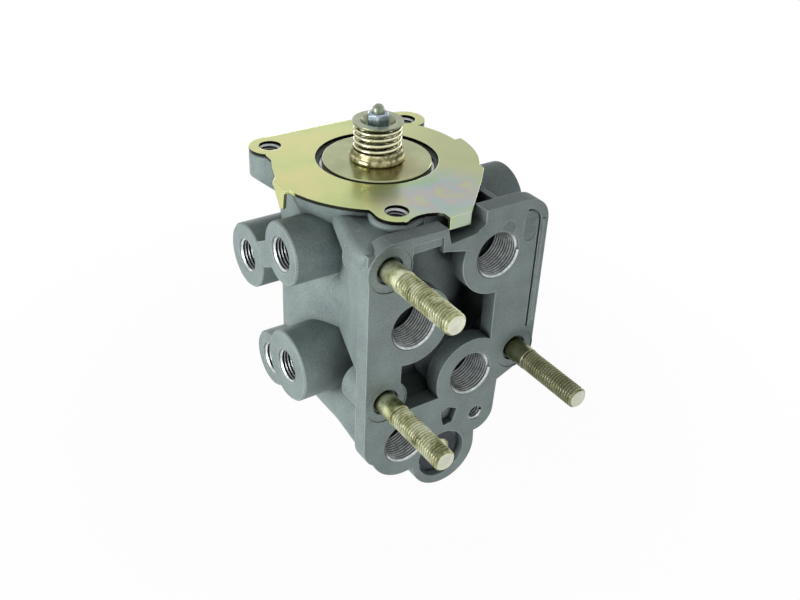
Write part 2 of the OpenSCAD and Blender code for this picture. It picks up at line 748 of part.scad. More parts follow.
module primary_piston() {
    run_r = bore_1_r - slide_gap;
    color("gainsboro") difference() {
        union() {
            drum(disc_r - 1, crown_top, crown_top + 1.5);
            drum(run_r, crown_top + 1.2, piston_depth);
            drum(stem_r, piston_depth - clear, piston_stem_end);
        }
        difference() {
            drum(run_r - piston_skirt, crown_top + crown_t, piston_depth + eps);
            drum(stem_r + 4, crown_top, piston_depth + clear);
        }
        drum(spindle_r + slide_gap, 0, crown_top + crown_t + 4 + slide_gap);
        drum(stem_bore_r, piston_depth, piston_stem_end + clear);
        for (turn = [0, 90]) rotate([0, 0, turn]) translate([0, 0, -piston_depth - 3]) rotate([90, 0, 0])
            cylinder(r = 1.5, h = 4 * stem_r, center = true);
        oring_groove(bore_1_r, piston_seal);
    }
}

module relay_piston() {
    run_r = bore_2_r - slide_gap;
    color("gainsboro") difference() {
        union() {
            drum(relay_tube_r, relay_tube_top, relay_top + clear);
            drum(run_r, relay_top, relay_top + relay_t);
            drum(stem_r, relay_top, relay_stem_end);
        }
        drum(stem_bore_r, relay_tube_top - clear, relay_stem_end + clear);
        difference() {
            drum(run_r - piston_skirt, relay_top + crown_t, relay_top + relay_t + eps);
            drum(stem_r + 3, relay_top, relay_top + relay_t + clear);
        }
        oring_groove(bore_2_r, relay_seal);
    }
}

// The two valve cartridges, alike but for their bores and depths

module seat_ring(bore_r, top) {
    color("lightgray") difference() {
        union() {
            drum(bore_r - slide_gap, top, top + seat_ring_t);
            drum(seat_r + 1.5, top, top + seat_ring_t + seat_lip);
        }
        drum(seat_r, top - clear, top + seat_ring_t + seat_lip + clear);
        oring_groove(bore_r, top + seat_ring_t / 2);
    }
}

module valve_guide(bore_r, top, bottom, collar_l) {
    floor_top = bottom - guide_floor_t;
    window_h = floor_top - top - 4;
    color("lightgray") difference() {
        union() {
            drum(bore_r - slide_gap, top, bottom);
            if (collar_l > 0) drum(relay_tube_r + 2.5, bottom - clear, bottom + collar_l);
        }
        drum(bore_r - guide_wall, top - clear, floor_top);
        for (turn = [0, 60, 120]) rotate([0, 0, turn]) translate([-bore_r - clear, -6, -top - 2 - window_h])
            cube([2 * bore_r + 2 * clear, 12, window_h]);
        drum(valve_tube_r + slide_gap, top, bottom + clear);
        if (collar_l > 0) drum(relay_tube_r + slide_gap, bottom - 0.5, bottom + collar_l + clear);
        oring_groove(bore_r, bottom - guide_floor_t / 2);
    }
}

module valve(top, bottom) {
    color("darkslategray") difference() {
        union() {
            drum(valve_head_r, top, top + valve_head_t);
            drum(valve_tube_r, top, bottom - 0.5);
        }
        drum(stem_bore_r - 1, top - clear, bottom + clear);
    }
}

// The exhaust flap, its sieve and its screw

module exhaust_flap() {
    color([0.12, 0.12, 0.13]) difference() {
        from_flange(exhaust, exhaust_r - 1, flap_t, flap_inset);
        from_flange(exhaust, 2 + slide_gap, flap_t + 2, flap_inset - 1);
    }
}

module exhaust_sieve() {
    color("gray") difference() {
        from_flange(exhaust, exhaust_r + 0.9 - slide_gap, sieve_t, flap_inset + flap_t);
        from_flange(exhaust, 2 + slide_gap, sieve_t + 2, flap_inset + flap_t - 1);
        for (turn = [0:60:300]) from_flange(exhaust + 7.5 * [cos(turn), sin(turn)], 2.4, sieve_t + 2,
            flap_inset + flap_t - 1);
    }
}

module exhaust_screw() {
    head_h = flap_inset - 0.2;
    dome_r = (exhaust_head_r ^ 2 + head_h ^ 2) / (2 * head_h);
    color([0.78, 0.76, 0.45]) {
        from_flange(exhaust, 2, flap_t + sieve_t + 3, flap_inset);
        translate([exhaust[0], flap_inset - axis_y, exhaust[1]]) rotate([90, 0, 0])
            rotate_extrude() intersection() {
                translate([0, head_h - dome_r]) circle(r = dome_r);
                square([exhaust_head_r, head_h + 1]);
            }
    }
}

// Everything is drawn from the valve axis and moved to the flange's origin
module placed() {
    translate([0, axis_y, plate_top_z]) children();
}

placed() valve_body();
placed() cover_plate();
placed() stud(stud_1);  // upper_stud
placed() stud(stud_2);  // lower_stud
placed() stud(stud_3);  // right_stud
placed() spring_cup();
placed() lock_nut();
placed() spindle();
placed() graduating_spring();
placed() spring_collar();
placed() piston_disc();
placed() primary_piston();
placed() color("black") oring(bore_1_r, piston_seal);  // piston_seal_ring
placed()  // piston_return_spring
    spring_between(piston_spring_r, piston_spring_wire, 4, crown_top + crown_t, seat_ring_1);
placed() circlip(bore_1_r, circlip_1);  // primary_circlip
placed() seat_ring(bore_1_r, seat_ring_1);  // primary_seat_ring
placed()  // primary_seat_seal
    color("black") oring(bore_1_r, seat_ring_1 + seat_ring_t / 2);
placed() valve(valve_1, bore_1_end);  // primary_valve
placed()  // primary_valve_spring
    spring_between(valve_spring_r, valve_spring_wire, 5, valve_1 + valve_head_t, bore_1_end - guide_floor_t);
placed()  // primary_valve_guide
    valve_guide(bore_1_r, guide_1, bore_1_end, relay_collar_l);
placed()  // primary_guide_seal
    color("black") oring(bore_1_r, bore_1_end - guide_floor_t / 2);
placed() relay_piston();
placed() color("black") oring(bore_2_r, relay_seal);  // relay_piston_seal
placed()  // relay_return_spring
    spring_between(relay_spring_r, relay_spring_wire, 5, relay_top + crown_t, seat_ring_2);
placed() circlip(bore_3_r, circlip_2);  // secondary_circlip
placed() seat_ring(bore_3_r, seat_ring_2);  // secondary_seat_ring
placed()  // secondary_seat_seal
    color("black") oring(bore_3_r, seat_ring_2 + seat_ring_t / 2);
placed() valve(valve_2, bore_3_end);  // secondary_valve
placed()  // secondary_valve_spring
    spring_between(valve_spring_r, valve_spring_wire, 4, valve_2 + valve_head_t, bore_3_end - guide_floor_t);
placed()  // secondary_valve_guide
    valve_guide(bore_3_r, guide_2, bore_3_end, 0);
placed()  // secondary_guide_seal
    color("black") oring(bore_3_r, bore_3_end - guide_floor_t / 2);
placed() exhaust_flap();
placed() exhaust_sieve();
placed() exhaust_screw();
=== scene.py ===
# %% [markdown]
# # Dressing a foot brake valve
#
# This lesson takes the solids of a truck's foot brake valve and gives them the look of the real
# part: a sand blasted casting, yellow plated steel, cut threads and a bright spring. The solids
# already stand at their real size, so nothing here moves or resizes them. We add what the solids
# leave out, which is mostly the threads, and then the finish of each surface.

# %% Load the solids
import json
import math

import bpy
from mathutils import Matrix, Vector


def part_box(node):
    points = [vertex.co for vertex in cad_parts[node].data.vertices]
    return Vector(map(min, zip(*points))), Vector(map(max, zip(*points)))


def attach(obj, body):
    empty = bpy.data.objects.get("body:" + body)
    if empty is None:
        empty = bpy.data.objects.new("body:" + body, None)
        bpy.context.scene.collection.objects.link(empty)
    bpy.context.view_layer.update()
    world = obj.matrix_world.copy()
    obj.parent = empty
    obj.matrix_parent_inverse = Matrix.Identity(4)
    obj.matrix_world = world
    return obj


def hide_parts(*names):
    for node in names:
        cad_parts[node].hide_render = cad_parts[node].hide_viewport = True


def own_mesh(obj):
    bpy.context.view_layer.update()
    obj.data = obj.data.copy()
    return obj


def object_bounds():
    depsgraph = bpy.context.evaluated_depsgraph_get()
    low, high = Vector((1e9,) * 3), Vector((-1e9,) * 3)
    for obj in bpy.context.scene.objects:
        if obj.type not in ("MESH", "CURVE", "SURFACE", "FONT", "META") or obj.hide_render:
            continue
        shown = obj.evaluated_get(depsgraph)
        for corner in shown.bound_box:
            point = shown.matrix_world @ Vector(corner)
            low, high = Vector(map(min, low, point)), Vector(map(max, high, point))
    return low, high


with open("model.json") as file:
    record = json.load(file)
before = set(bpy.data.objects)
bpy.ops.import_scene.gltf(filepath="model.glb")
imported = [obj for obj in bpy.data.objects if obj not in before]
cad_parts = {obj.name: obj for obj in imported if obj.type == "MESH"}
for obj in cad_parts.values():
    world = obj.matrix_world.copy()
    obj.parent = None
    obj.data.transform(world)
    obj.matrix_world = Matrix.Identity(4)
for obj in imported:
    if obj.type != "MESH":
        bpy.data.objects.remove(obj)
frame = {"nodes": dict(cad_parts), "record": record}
solid_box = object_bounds()
nodes = frame["nodes"]
record = frame["record"]

# %% [markdown]
# ## Sizes
#
# Blender works in metres here and a machinist works in millimetres, so one constant turns one
# into the other. The valve's own axis and the top of its cover plate are read from the solids,
# because most places are easiest to give from there.

# %% Units and main places
MM = 0.001


def middle(node):
    """The centre of a solid's box."""
    low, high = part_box(node)
    return (low + high) / 2


axis_y = middle("piston_disc").y
plate_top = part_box("cover_plate")[1].z
mounts = {mount["name"]: mount for mount in record["mounts"]}
right_stud = Vector(mounts["right_stud_thread"]["pos_m"]) / MM
print("axis at", round(axis_y / MM, 2), "mm, plate top at", round(plate_top / MM, 2), "mm")

# %% [markdown]
# ## Camera
#
# The photograph looks down on the flange from the left. Its viewpoint was worked out once, from
# the round cover, the straight studs and the flange's edges, and is written down here as a place,
# a direction and a lens. The small shift puts the picture's centre where the photograph has it.

# %% Set the camera
scene = bpy.context.scene
scene.view_settings.view_transform = "Standard"

camera_place = Vector((-231.75, -286.84, 265.07)) * MM
camera_right = Vector((0.83255, -0.55239, 0.04149))
camera_ahead = Vector((0.48022, 0.68238, -0.55113))
camera_data = bpy.data.cameras.new("camera")
camera_data.sensor_width = 36
camera_data.lens = 45.26
camera_data.shift_x = -0.0016
camera_data.shift_y = 0.0209
camera_data.clip_start = 0.01
camera = bpy.data.objects.new("camera", camera_data)
scene.collection.objects.link(camera)
camera_back = -camera_ahead.normalized()
camera_up = camera_back.cross(camera_right).normalized()
camera_side = camera_up.cross(camera_back)
turned_camera = Matrix((camera_side, camera_up, camera_back)).transposed().to_4x4()
camera.matrix_world = Matrix.Translation(camera_place) @ turned_camera
scene.camera = camera
print("camera is", round((camera_place - Vector((0, axis_y, 0))).length / MM), "mm from the axis")

# %% [markdown]
# ## Nodes and colours
#
# Every finish below is a small tree of shader nodes. One function adds a node, sets it up and
# wires its inputs. Another turns a colour given as a hex code into the linear numbers that the
# shader wants, and a third starts a material with the values of its metal or its rubber.

# %% Add a node, start a material
def linear(code):
    """An sRGB hex colour as linear numbers, with a full alpha."""
    channels = [int(code[i:i + 2], 16) / 255 for i in (1, 3, 5)]
    return [c / 12.92 if c <= 0.04045 else ((c + 0.055) / 1.055) ** 2.4 for c in channels] + [1.0]


def add(tree, kind, inputs=None, **settings):
    """Adds one node. An input is a value, or another node's socket to wire in."""
    made = tree.nodes.new("ShaderNode" + kind)
    for setting, value in settings.items():
        setattr(made, setting, value)
    for socket, value in (inputs or {}).items():
        if isinstance(value, bpy.types.NodeSocket):
            tree.links.new(value, made.inputs[socket])
        else:
            made.inputs[socket].default_value = value
    return made


def start_material(name, **values):
    """A material with its shader's plain values set, given back with its tree and shader."""
    material = bpy.data.materials.new(name)
    material.use_nodes = True
    tree = material.node_tree
    shader = tree.nodes["Principled BSDF"]
    for socket, value in values.items():
        shader.inputs[socket.replace("_", " ")].default_value = value
    return material, tree, shader


print("the casting's grey as linear numbers:", [round(c, 3) for c in linear("#8A9997")])

# %% [markdown]
# ## Patches and coats
#
# A real surface is a base colour with something on it, such as stains or rubbed edges. So each
# finish starts from patches of two or more shades, whose size is given in millimetres, and then
# lays coats over them, one after the other. Some coats are painted shade in corners and painted
# highlights on edges. A last step wires the colour to the shader, with a fine grain under it. All
# patterns read the piece's own coordinates, so they stay on it when it moves.

# %% Patches, coats and grain
def patches(tree, size_mm, *stops, detail=3, roughness=0.5):
    """Patches of colour about size_mm wide. A stop is a height of the noise and a hex colour."""
    place = add(tree, "TexCoord").outputs["Object"]
    noise = add(tree, "TexNoise", {"Vector": place, "Scale": 1 / (size_mm * MM), "Detail": detail,
                                   "Roughness": roughness})
    ramp = add(tree, "ValToRGB", {"Fac": noise.outputs["Fac"]})
    elements = ramp.color_ramp.elements
    while len(elements) < len(stops):
        elements.new(0.5)
    for element, (position, code) in zip(elements, stops):
        element.position = position
        element.color = linear(code)
    return ramp.outputs["Color"]


def coated(tree, colour, *coats):
    """Lays coats over a colour. A coat is its share, then a hex colour or another node's colour."""
    for share, coat in coats:
        over = linear(coat) if isinstance(coat, str) else coat
        colour = add(tree, "Mix", {0: share, 6: colour, 7: over}, data_type="RGBA").outputs[2]
    return colour


def wire_up(tree, shader, colour, grain_mm, strength, depth_mm, rounded=None):
    """Gives the shader its colour and, as a bump, its grain and its rounded edges."""
    place = add(tree, "TexCoord").outputs["Object"]
    grain = add(tree, "TexNoise", {"Vector": place, "Scale": 1 / (grain_mm * MM), "Detail": 2})
    relief = {"Height": grain.outputs["Fac"], "Strength": strength, "Distance": depth_mm * MM}
    if rounded is not None:
        relief["Normal"] = rounded
    tree.links.new(add(tree, "Bump", relief).outputs["Normal"], shader.inputs["Normal"])
    tree.links.new(colour, shader.inputs["Base Color"])


print("patches of 14 mm are a noise at a scale of", round(1 / (14 * MM)))

# %% [markdown]
# ## Where a coat lies
#
# The share of a coat is 1 where it covers and 0 where it is missing. It may lie around a place, in
# the corners where other faces stand close, or on the edges. A dark coat in the corners is painted
# shade. Hands and tools rub an edge first, and an edge catches the light, so a pale coat there is
# rubbed wear and a painted highlight at once. The edges also get a normal that rounds them, as a
# casting or a rolled sheet has.

# %% Shares
# The pale coat on an edge is rubbed wear and a painted highlight at once
FULL_WEAR_AND_HIGHLIGHT = 0.72  # cosine of the lean from which an edge is fully rubbed


def around(tree, place_mm, near_mm, far_mm, inside=1.0, outside=0.0):
    """A share that goes from inside to outside between two distances from a place."""
    spot = add(tree, "TexCoord").outputs["Object"]
    away = add(tree, "VectorMath", {0: spot, 1: [v * MM for v in place_mm]}, operation="DISTANCE")
    limits = {"From Min": near_mm * MM, "From Max": far_mm * MM,
              "To Min": inside, "To Max": outside}
    return add(tree, "MapRange", {"Value": away.outputs["Value"], **limits}).outputs["Result"]


def in_corners(tree, reach_mm, closed_in, open_air):
    """1 where the faces within reach leave a point as shut in as closed_in, 0 from open_air on."""
    openness = add(tree, "AmbientOcclusion", {"Distance": reach_mm * MM}, samples=6).outputs["AO"]
    limits = {"From Min": closed_in, "From Max": open_air, "To Min": 1.0, "To Max": 0.0}
    return add(tree, "MapRange", {"Value": openness, **limits}).outputs["Result"]


def rounded_edges(tree, radius_mm):
    """A normal that rounds the edges, and the share of an edge: 0 on a face, 1 at the edge, where
    wear and a painted highlight go.
    """
    rounded = add(tree, "Bevel", {"Radius": radius_mm * MM}, samples=6).outputs["Normal"]
    flat = add(tree, "NewGeometry").outputs["True Normal"]
    lean = add(tree, "VectorMath", {0: rounded, 1: flat}, operation="DOT_PRODUCT").outputs["Value"]
    edge = add(tree, "MapRange", {"Value": lean, "From Min": 1.0, "From Max": FULL_WEAR_AND_HIGHLIGHT})
    return rounded, edge.outputs["Result"]


print("fully rubbed from a lean of", round(math.degrees(math.acos(FULL_WEAR_AND_HIGHLIGHT))), "degrees on")

# %% [markdown]
# ## Die cast aluminium
#
# The housing is pressure die cast and then sand blasted. Blasting leaves an even matte grey with a
# cold green tint, a fine grain, and no sharp edge anywhere. The grain of the real part is a few
# tenths of a millimetre, and it is drawn at 0.8 mm here so that it shows at this distance. Paler
# specks on it are painted glints. Edges get a pale coat of rubbed wear and painted highlight, but
# not in the corners, where painted shade darkens the grey, and deep pockets get a nearly black
# painted shade. The two marks that the mould's ejector pins leave near the right corner are a
# shade darker. One is round, and the long one is covered by three round coats.

# %% Cast aluminium
BLAST_GRAIN = 0.8
EJECTOR_MARKS = ((24.3, 0, 60.6), (36.8, 0, 63.0), (36.8, 0, 59.0), (36.8, 0, 55.2))
MARK_RADIUS = 3.53
MARK_BLUR = 0.25
MARK_SHARE = 0.22


def painted_glints(tree):
    """The share of the paler specks, painted glints on the blasted grain, 0.3 at most."""
    place = add(tree, "TexCoord").outputs["Object"]
    grain = add(tree, "TexNoise", {"Vector": place, "Scale": 1 / (BLAST_GRAIN * MM), "Detail": 2})
    limits = {"From Min": 0.35, "From Max": 0.7, "To Min": 0.0, "To Max": 0.3}
    return add(tree, "MapRange", {"Value": grain.outputs["Fac"], **limits}).outputs["Result"]


def cast_aluminium():
    material, tree, shader = start_material("sand_blasted_aluminium", Metallic=0.15, Roughness=0.58)
    grey = patches(tree, 14, (0.3, "#727F7E"), (0.72, "#8A9997"), detail=4)
    # Painted glints: paler specks on the blasted grain
    speckled = coated(tree, grey, (painted_glints(tree), "#B2BFBD"))
    for mark in EJECTOR_MARKS:
        dim = around(tree, mark, MARK_RADIUS, MARK_RADIUS + MARK_BLUR, inside=MARK_SHARE)
        speckled = coated(tree, speckled, (dim, "#475453"))
    rounded, edge = rounded_edges(tree, 0.8)
    # Rubbed wear and a painted highlight on the edges, painted shade in the corners and deep
    # pockets
    colour = coated(tree, speckled,
                    (edge, "#DCE4E2"),
                    (in_corners(tree, 9, 0.82, 0.97), speckled),
                    (in_corners(tree, 9, 0.08, 0.55), "#3E4848"),
                    (in_corners(tree, 40, 0.08, 0.36), "#121519"))
    wire_up(tree, shader, colour, BLAST_GRAIN, 0.4, 0.14, rounded)
    return material


finishes = {"cast_aluminium": cast_aluminium()}
print("finish:", finishes["cast_aluminium"].name)

# %% [markdown]
# ## The yellow plated sheet
#
# The cover plate is zinc plated and dipped in yellow chromate. The film is so thin that it splits
# the light, so a pale straw yellow drifts into green over patches a few centimetres wide. Near the
# front, where the film is thickest, it turns blue and pink, and on the right it is duller. Its
# edges get a pale coat of wear and painted highlight. The sheared edge of the sheet is rough, and
# it and every other face that looks sideways are painted nearly black, as painted shade and a
# painted dark reflection. The two tongues are bent down and look sideways too, so they get the
# plated colour back.

# %% The plate's chromate
THICK_FILM = (2, 22, plate_top / MM)
DULL_SIDE = (52, 46, plate_top / MM)
TONGUES = ((0.5, axis_y / MM - 64.4, plate_top / MM - 3),
           (-53.5, axis_y / MM - 6, plate_top / MM - 5))


def looks_sideways(tree):
    """1 on faces that stand upright, 0 on faces that look up or down."""
    flat = add(tree, "NewGeometry").outputs["True Normal"]
    upwards = add(tree, "SeparateXYZ", {0: flat}).outputs["Z"]
    steep = add(tree, "Math", {0: upwards}, operation="ABSOLUTE").outputs[0]
    limits = {"From Min": 0.25, "From Max": 0.6, "To Min": 1.0, "To Max": 0.0}
    return add(tree, "MapRange", {"Value": steep, **limits}).outputs["Result"]


def yellow_plate():
    material, tree, shader = start_material("yellow_chromate_sheet", Metallic=0.85, Roughness=0.25)
    straw = patches(tree, 30, (0.3, "#B4C584"), (0.5, "#CBD28E"), (0.7, "#D8D392"), detail=2)
    blue_and_pink = patches(tree, 16, (0.35, "#93B498"), (0.48, "#9AAFBF"), (0.58, "#AFA6B6"),
                            (0.7, "#AFBF8A"), detail=2)
    rounded, edge = rounded_edges(tree, 0.5)
    # A pale coat of wear and a painted highlight on the edges
    plated = coated(tree, straw,
                    (around(tree, DULL_SIDE, 31, 62, inside=0.6), "#A3A988"),
                    (around(tree, THICK_FILM, 13.6, 34, inside=0.75), blue_and_pink),
                    (edge, "#F1F0CC"))
    # Painted shade and a painted dark reflection on every face that looks sideways
    colour = coated(tree, plated, (looks_sideways(tree), "#24261C"))
    # The tongues lose that painted shade and get the plated colour back
    for tongue in TONGUES:
        colour = coated(tree, colour, (around(tree, tongue, 9, 10.2), plated))
    wire_up(tree, shader, colour, 1.2, 0.06, 0.05, rounded)
    return material


finishes["yellow_zinc_plate"] = yellow_plate()
print("finish:", finishes["yellow_zinc_plate"].name)

# %% [markdown]
# ## Plated disc and collar
#
# The disc on the piston has the same plating over a turned face, and has gone a darker olive. In
# front of the spring a brown patch is a painted reflection of the spring and collar. The collar is
# pressed from thin strip, so its plating is uneven, from brown to pale gold over a few millimetres.

# %% Disc and collar
# Centre of the painted reflection of the spring and collar in the disc
PAINTED_SPRING_REFLECTION = (0, axis_y / MM - 13, plate_top / MM)


def olive_disc():
    material, tree, shader = start_material("yellow_chromate_turned", Metallic=0.9, Roughness=0.2)
    olive = patches(tree, 12, (0.3, "#9CA37C"), (0.7, "#B4B98F"))
    rounded, edge = rounded_edges(tree, 0.4)
    # A painted reflection of the spring in front of it, and wear with a painted highlight on the
    # edges
    colour = coated(tree, olive, (around(tree, PAINTED_SPRING_REFLECTION, 0, 17), "#877B52"), (edge, "#ECE8C4"))
    wire_up(tree, shader, colour, 0.9, 0.06, 0.05, rounded)
    return material


def gold_collar():
    material, tree, shader = start_material("gold_chromate_steel", Metallic=0.9, Roughness=0.24)
    gold = patches(tree, 2.5, (0.32, "#615D44"), (0.5, "#A8A37C"), (0.68, "#D0CBA6"))
    wire_up(tree, shader, gold, 1, 0.3, 0.08, rounded_edges(tree, 0.3)[0])
    return material


finishes["olive_zinc_disc"] = olive_disc()
finishes["gold_zinc"] = gold_collar()
print("finishes so far:", len(finishes))

# %% [markdown]
# ## Plated studs
#
# The studs come from the same bath, but they were turned and handled, so the film is stained from
# olive to nearly white. Its crests get a pale coat of wear and painted highlight, and its roots are
# darkened with painted shade. The right stud is coloured darker than the other two, and the cut
# ends, which look forwards, are paler.

# %% The studs' chromate
DARKER_STUD = (right_stud.x, -20, right_stud.z)


def looks_forwards(tree):
    """The share of the paler colour on the faces that look forwards, 0.75 at most."""
    flat = add(tree, "NewGeometry").outputs["True Normal"]
    backwards = add(tree, "SeparateXYZ", {0: flat}).outputs["Y"]
    limits = {"From Min": -0.85, "From Max": -0.95, "To Min": 0.0, "To Max": 0.75}
    return add(tree, "MapRange", {"Value": backwards, **limits}).outputs["Result"]


def yellow_stud():
    material, tree, shader = start_material("yellow_chromate_steel", Metallic=0.85, Roughness=0.34)
    stained = patches(tree, 8, (0.38, "#686A45"), (0.48, "#A9AE7C"), (0.6, "#DDE2BE"), detail=4,
                      roughness=0.65)
    rounded, edge = rounded_edges(tree, 0.25)
    # Wear and a painted highlight on the edges, painted shade in the thread's roots
    colour = coated(tree, stained,
                    (around(tree, DARKER_STUD, 22.4, 32, inside=0.8), "#5C5D40"),
                    (edge, "#F0F0D6"),
                    (in_corners(tree, 2.0, 0.4, 0.92), "#3E3D26"),
                    (looks_forwards(tree), "#D8DACB"))
    wire_up(tree, shader, colour, 0.8, 0.15, 0.05, rounded)
    return material


finishes["yellow_zinc_stud"] = yellow_stud()
print("finish:", finishes["yellow_zinc_stud"].name)

# %% [markdown]
# ## Cut threads and spring wire
#
# The thread cutter leaves clean bright crests in the ports. The roots are darkened with painted
# shade, so a thread reads as dark lines, and more painted shade makes it darkest deep in the port.
# Spring wire is drawn through a die and lightly oiled, so it is smooth and mirrors its own turns.
# Where its turns stand close it is darkened with painted shade.

# %% Threads and wire
def cut_thread():
    material, tree, shader = start_material("cut_aluminium_thread", Metallic=0.6, Roughness=0.34)
    crest = patches(tree, 3, (0.3, "#AEB8B7"), (0.7, "#F0F6F5"))
    # Painted shade in the roots, and deeper painted shade far into the port
    colour = coated(tree, crest,
                    (in_corners(tree, 2.0, 0.6, 0.95), "#040506"),
                    (in_corners(tree, 18, 0.1, 0.42), "#0A0C0E"))
    wire_up(tree, shader, colour, 0.5, 0.1, 0.05)
    return material


def spring_wire():
    material, tree, shader = start_material("oiled_spring_wire", Metallic=0.95, Roughness=0.16)
    bright = patches(tree, 5, (0.3, "#C6C3A0"), (0.7, "#EEEBCC"))
    # Painted shade where the turns stand close
    colour = coated(tree, bright, (in_corners(tree, 2.5, 0.35, 0.85), "#17160F"))
    wire_up(tree, shader, colour, 0.6, 0.06, 0.05)
    return material


finishes["cut_thread"] = cut_thread()
finishes["spring_steel"] = spring_wire()
print("finishes so far:", len(finishes))

# %% [markdown]
# ## Small pieces and rubber
#
# The other finishes are two shades of one colour with a fine grain, so they share one function and
# differ in its numbers. The nut has a blue white zinc, the spindle a grey phosphate, the cup a dull
# zinc and the exhaust screw a pale yellow one. The pistons inside are turned aluminium and the
# rings phosphated steel. The seals are nitrile rubber, nearly black, and the moulded flap of the
# exhaust is a blue black. Rubber isn't a metal and scatters the light, so it looks dull.

# %% The small finishes
def plain_finish(name, low, high, metallic, roughness, patch_mm, grain_mm, bump, edge_mm=0.25):
    """Patches of two shades and a grain, on edges that are slightly rounded."""
    material, tree, shader = start_material(name, Metallic=metallic, Roughness=roughness)
    colour = patches(tree, patch_mm, (0.3, low), (0.7, high))
    wire_up(tree, shader, colour, grain_mm, bump, 0.05, rounded_edges(tree, edge_mm)[0])
    return material


def seal_rubber():
    material, tree, shader = start_material("nitrile_rubber", Roughness=0.62)
    black = patches(tree, 4, (0.3, "#151617"), (0.7, "#26282A"))
    wire_up(tree, shader, black, 0.7, 0.2, 0.08)
    return material


finishes.update({
    "grey_cup": plain_finish("dull_yellow_zinc_cup", "#929980", "#ACB198", metallic=0.85,
                             roughness=0.28, patch_mm=4, grain_mm=0.8, bump=0.1, edge_mm=0.4),
    "white_zinc": plain_finish("blue_white_zinc", "#7F8D99", "#B4C0C9", metallic=0.9,
                               roughness=0.24, patch_mm=3, grain_mm=0.6, bump=0.12),
    "grey_spindle": plain_finish("grey_phosphated_spindle", "#6E7A68", "#A3AC98", metallic=0.75,
                                 roughness=0.34, patch_mm=2, grain_mm=0.5, bump=0.15),
    "turned_aluminium": plain_finish("turned_aluminium", "#B3B6B7", "#D5D8D9", metallic=0.9,
                                     roughness=0.3, patch_mm=6, grain_mm=0.5, bump=0.1),
    "bright_screw": plain_finish("yellow_passivated_screw", "#E6E4B4", "#FAF8DC", metallic=0.6,
                                 roughness=0.4, patch_mm=3, grain_mm=0.5, bump=0.1),
    "blue_flap": plain_finish("moulded_nitrile_flap", "#22282D", "#343C42", metallic=0.0,
                              roughness=0.6, patch_mm=4, grain_mm=0.7, bump=0.2),
    "phosphated_steel": plain_finish("phosphated_steel", "#26282A", "#3A3C3E", metallic=0.5,
                                     roughness=0.5, patch_mm=4, grain_mm=0.5, bump=0.2),
    "valve_rubber": seal_rubber(),
})
print("finishes:", len(finishes))

# %% [markdown]
# ## Finish on the solids
#
# A solid whose shape is already right keeps its mesh and only gets the material of its slot. Five
# pieces take a finish of their own, because they differ from the others of their slot: the disc has
# gone darker than the plate, and the screw of the exhaust flap is the brightest spot of the sump.

# %% Give each solid its finish
slot_of = {part["node"]: part["material_slot"] for part in record["subparts"]}
finish_of = {"piston_disc": "olive_zinc_disc", "spindle": "grey_spindle", "spring_cup": "grey_cup",
             "exhaust_screw": "bright_screw", "exhaust_flap": "blue_flap"}
for name, solid in nodes.items():
    solid.data.materials.clear()
    solid.data.materials.append(finishes[finish_of.get(name, slot_of[name])])
print("dressed solids:", len(nodes))

# %% [markdown]
# ## Turned pieces
#
# A stud is turned on a lathe, so it is a stack of round sections. By hand you would add a circle,
# fill it, and then extrude and scale it from one section to the next. The same steps are written
# out here, with the whole outline as a short list of distance and radius.

# %% Helpers for modelling
def deselect():
    """Nothing stays selected, because an operator acts on all that is."""
    bpy.ops.object.select_all(action="DESELECT")


def only(piece):
    """Makes a piece the only selected one, and the active one."""
    deselect()
    piece.select_set(True)
    bpy.context.view_layer.objects.active = piece


def in_place():
    """Moves the active piece's place and turn into its mesh."""
    bpy.ops.object.transform_apply(location=True, rotation=True, scale=True)


def edit(piece):
    """Makes a piece the only selected one and enters edit mode with all of it selected."""
    only(piece)
    bpy.ops.object.mode_set(mode="EDIT")
    bpy.ops.mesh.select_all(action="SELECT")


def leave_edit():
    bpy.ops.object.mode_set(mode="OBJECT")


def leave_with_normals_out():
    """Turns all faces outwards, then leaves edit mode."""
    bpy.ops.mesh.select_all(action="SELECT")
    bpy.ops.mesh.normals_make_consistent(inside=False)
    leave_edit()


def turned(name, sections, sides=48):
    """A lathe piece along Z from sections of (distance, radius), in millimetres."""
    deselect()
    distance, radius = sections[0]
    bpy.ops.mesh.primitive_circle_add(vertices=sides, radius=radius * MM, fill_type="NGON",
                                      location=(0, 0, distance * MM))
    piece = bpy.context.object
    piece.name = name
    in_place()
    edit(piece)
    for next_distance, next_radius in sections[1:]:
        step = (0, 0, (next_distance - distance) * MM)
        bpy.ops.mesh.extrude_region_move(TRANSFORM_OT_translate={"value": step})
        share = next_radius / radius
        bpy.ops.transform.resize(value=(share, share, 1),
                                 center_override=(0, 0, next_distance * MM))
        distance, radius = next_distance, next_radius
    leave_with_normals_out()
    return piece


def put(piece, place, direction):
    """Moves a piece from the origin to its place, with its Z along the direction given."""
    turn = Vector(direction).to_track_quat("Z", "Y").to_matrix().to_4x4()
    piece.matrix_world = Matrix.Translation(Vector(place)) @ turn
    only(piece)
    in_place()


def dress(piece, slot, body, finish=None, smooth=35):
    """Gives a finished piece its material, its shading and the body it rides on."""
    piece.data.materials.clear()
    piece.data.materials.append(finishes[finish or slot])
    only(piece)
    bpy.ops.object.shade_smooth_by_angle(angle=math.radians(smooth))
    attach(piece, body)


print("helpers for turned pieces are ready")

# %% [markdown]
# ## Threads
#
# A thread is one triangle swept along a helix. We add a three-sided circle, squash it to the
# depth and pitch of the thread, push it out to its radius, and let the Screw modifier carry it
# round. In a port the triangle points inwards and on a stud it points outwards. The pitch is
# 1.5 mm on all of them, as on the real part.

# %% A helper for threads
PITCH = 1.5
RIDGE_WIDTH = 0.98  # share of the pitch, so that one turn just misses the next


